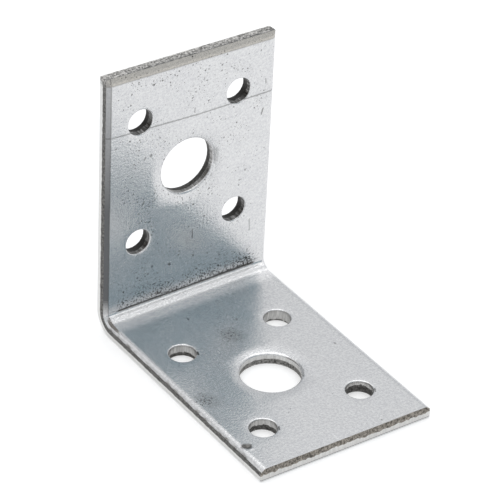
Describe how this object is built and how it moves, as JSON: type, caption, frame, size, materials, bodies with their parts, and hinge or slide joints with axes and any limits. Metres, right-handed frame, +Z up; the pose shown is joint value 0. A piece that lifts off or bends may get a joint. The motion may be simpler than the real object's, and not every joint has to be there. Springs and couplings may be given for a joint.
{
  "type": "angle bracket",
  "caption": "L-shaped zinc coated steel bracket with small screw holes around a larger bolt hole in each leg, for joining timber or panels at a right angle.",
  "frame": {"origin": "on the floor, under the middle of the whole", "axes": "+X across the width of the strip, -Y towards the free end of the base leg, +Z up along the upright"},
  "size_m": [0.0352, 0.0528, 0.0528],
  "materials": {
    "zinc_coated_steel": "dull zinc coating on cold rolled steel sheet"
  },
  "bodies": {
    "root": {"angle_bracket": "zinc_coated_steel"}
  },
  "joints": []
}
